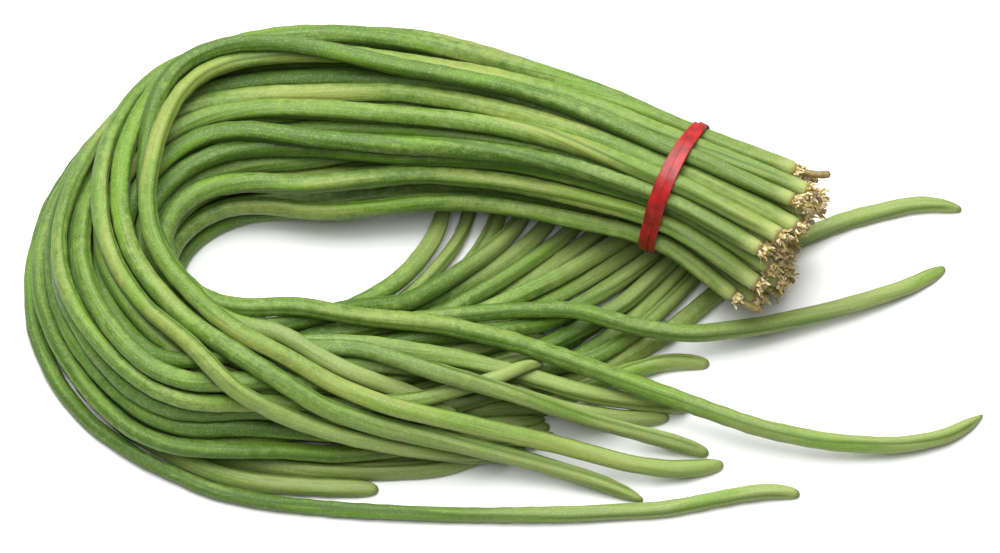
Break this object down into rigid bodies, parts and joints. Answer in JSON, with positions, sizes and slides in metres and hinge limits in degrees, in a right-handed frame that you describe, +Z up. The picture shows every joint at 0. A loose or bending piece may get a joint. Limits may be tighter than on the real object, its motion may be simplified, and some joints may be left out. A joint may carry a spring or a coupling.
{
  "type": "yardlong bean bunch",
  "caption": "Tied bunch of very long, thin fresh bean pods, bent back in a broad loop so that its loose tails pass under the tied head, lying on its side.",
  "frame": {"origin": "middle of the bunch's footprint, on the surface that it lies on", "axes": "+X from the loop towards the tied stem ends and along the tails, +Y away from the tails towards the top of the loop, +Z up"},
  "size_m": [0.3976, 0.2272, 0.069],
  "materials": {
    "pod": "satin green skin, mottled, with a dry brown stem end",
    "band": "smooth red elastic"
  },
  "bodies": {
    "root": {"pod_behind_head": "pod", "pod_cross_inner": "pod", "pod_cross_outer": "pod", "pod_edge": "pod", "pod_far": "pod", "pod_front_of_head": "pod", "pod_front_short": "pod", "pod_inner_short": "pod", "pod_low_edge": "pod", "pod_low_edge_inner": "pod", "pod_middle_first": "pod", "pod_middle_second": "pod", "pod_over_first": "pod", "pod_over_pair": "pod", "pod_over_second": "pod", "pod_short_edge": "pod", "pod_sweep_01": "pod", "pod_sweep_02": "pod", "pod_sweep_03": "pod", "pod_sweep_04": "pod", "pod_sweep_05": "pod", "pod_sweep_06": "pod", "pod_sweep_07": "pod", "pod_sweep_08": "pod", "pod_sweep_09": "pod", "pod_sweep_10": "pod", "pod_sweep_11": "pod", "pod_sweep_12": "pod", "pod_sweep_13": "pod", "pod_sweep_14": "pod", "pod_sweep_15": "pod", "pod_sweep_16": "pod", "pod_under_01": "pod", "pod_under_02": "pod", "pod_under_03": "pod", "pod_under_04": "pod", "pod_under_05": "pod", "pod_under_06": "pod", "pod_under_07": "pod", "pod_under_08": "pod", "rubber_band": "band"}
  },
  "joints": []
}
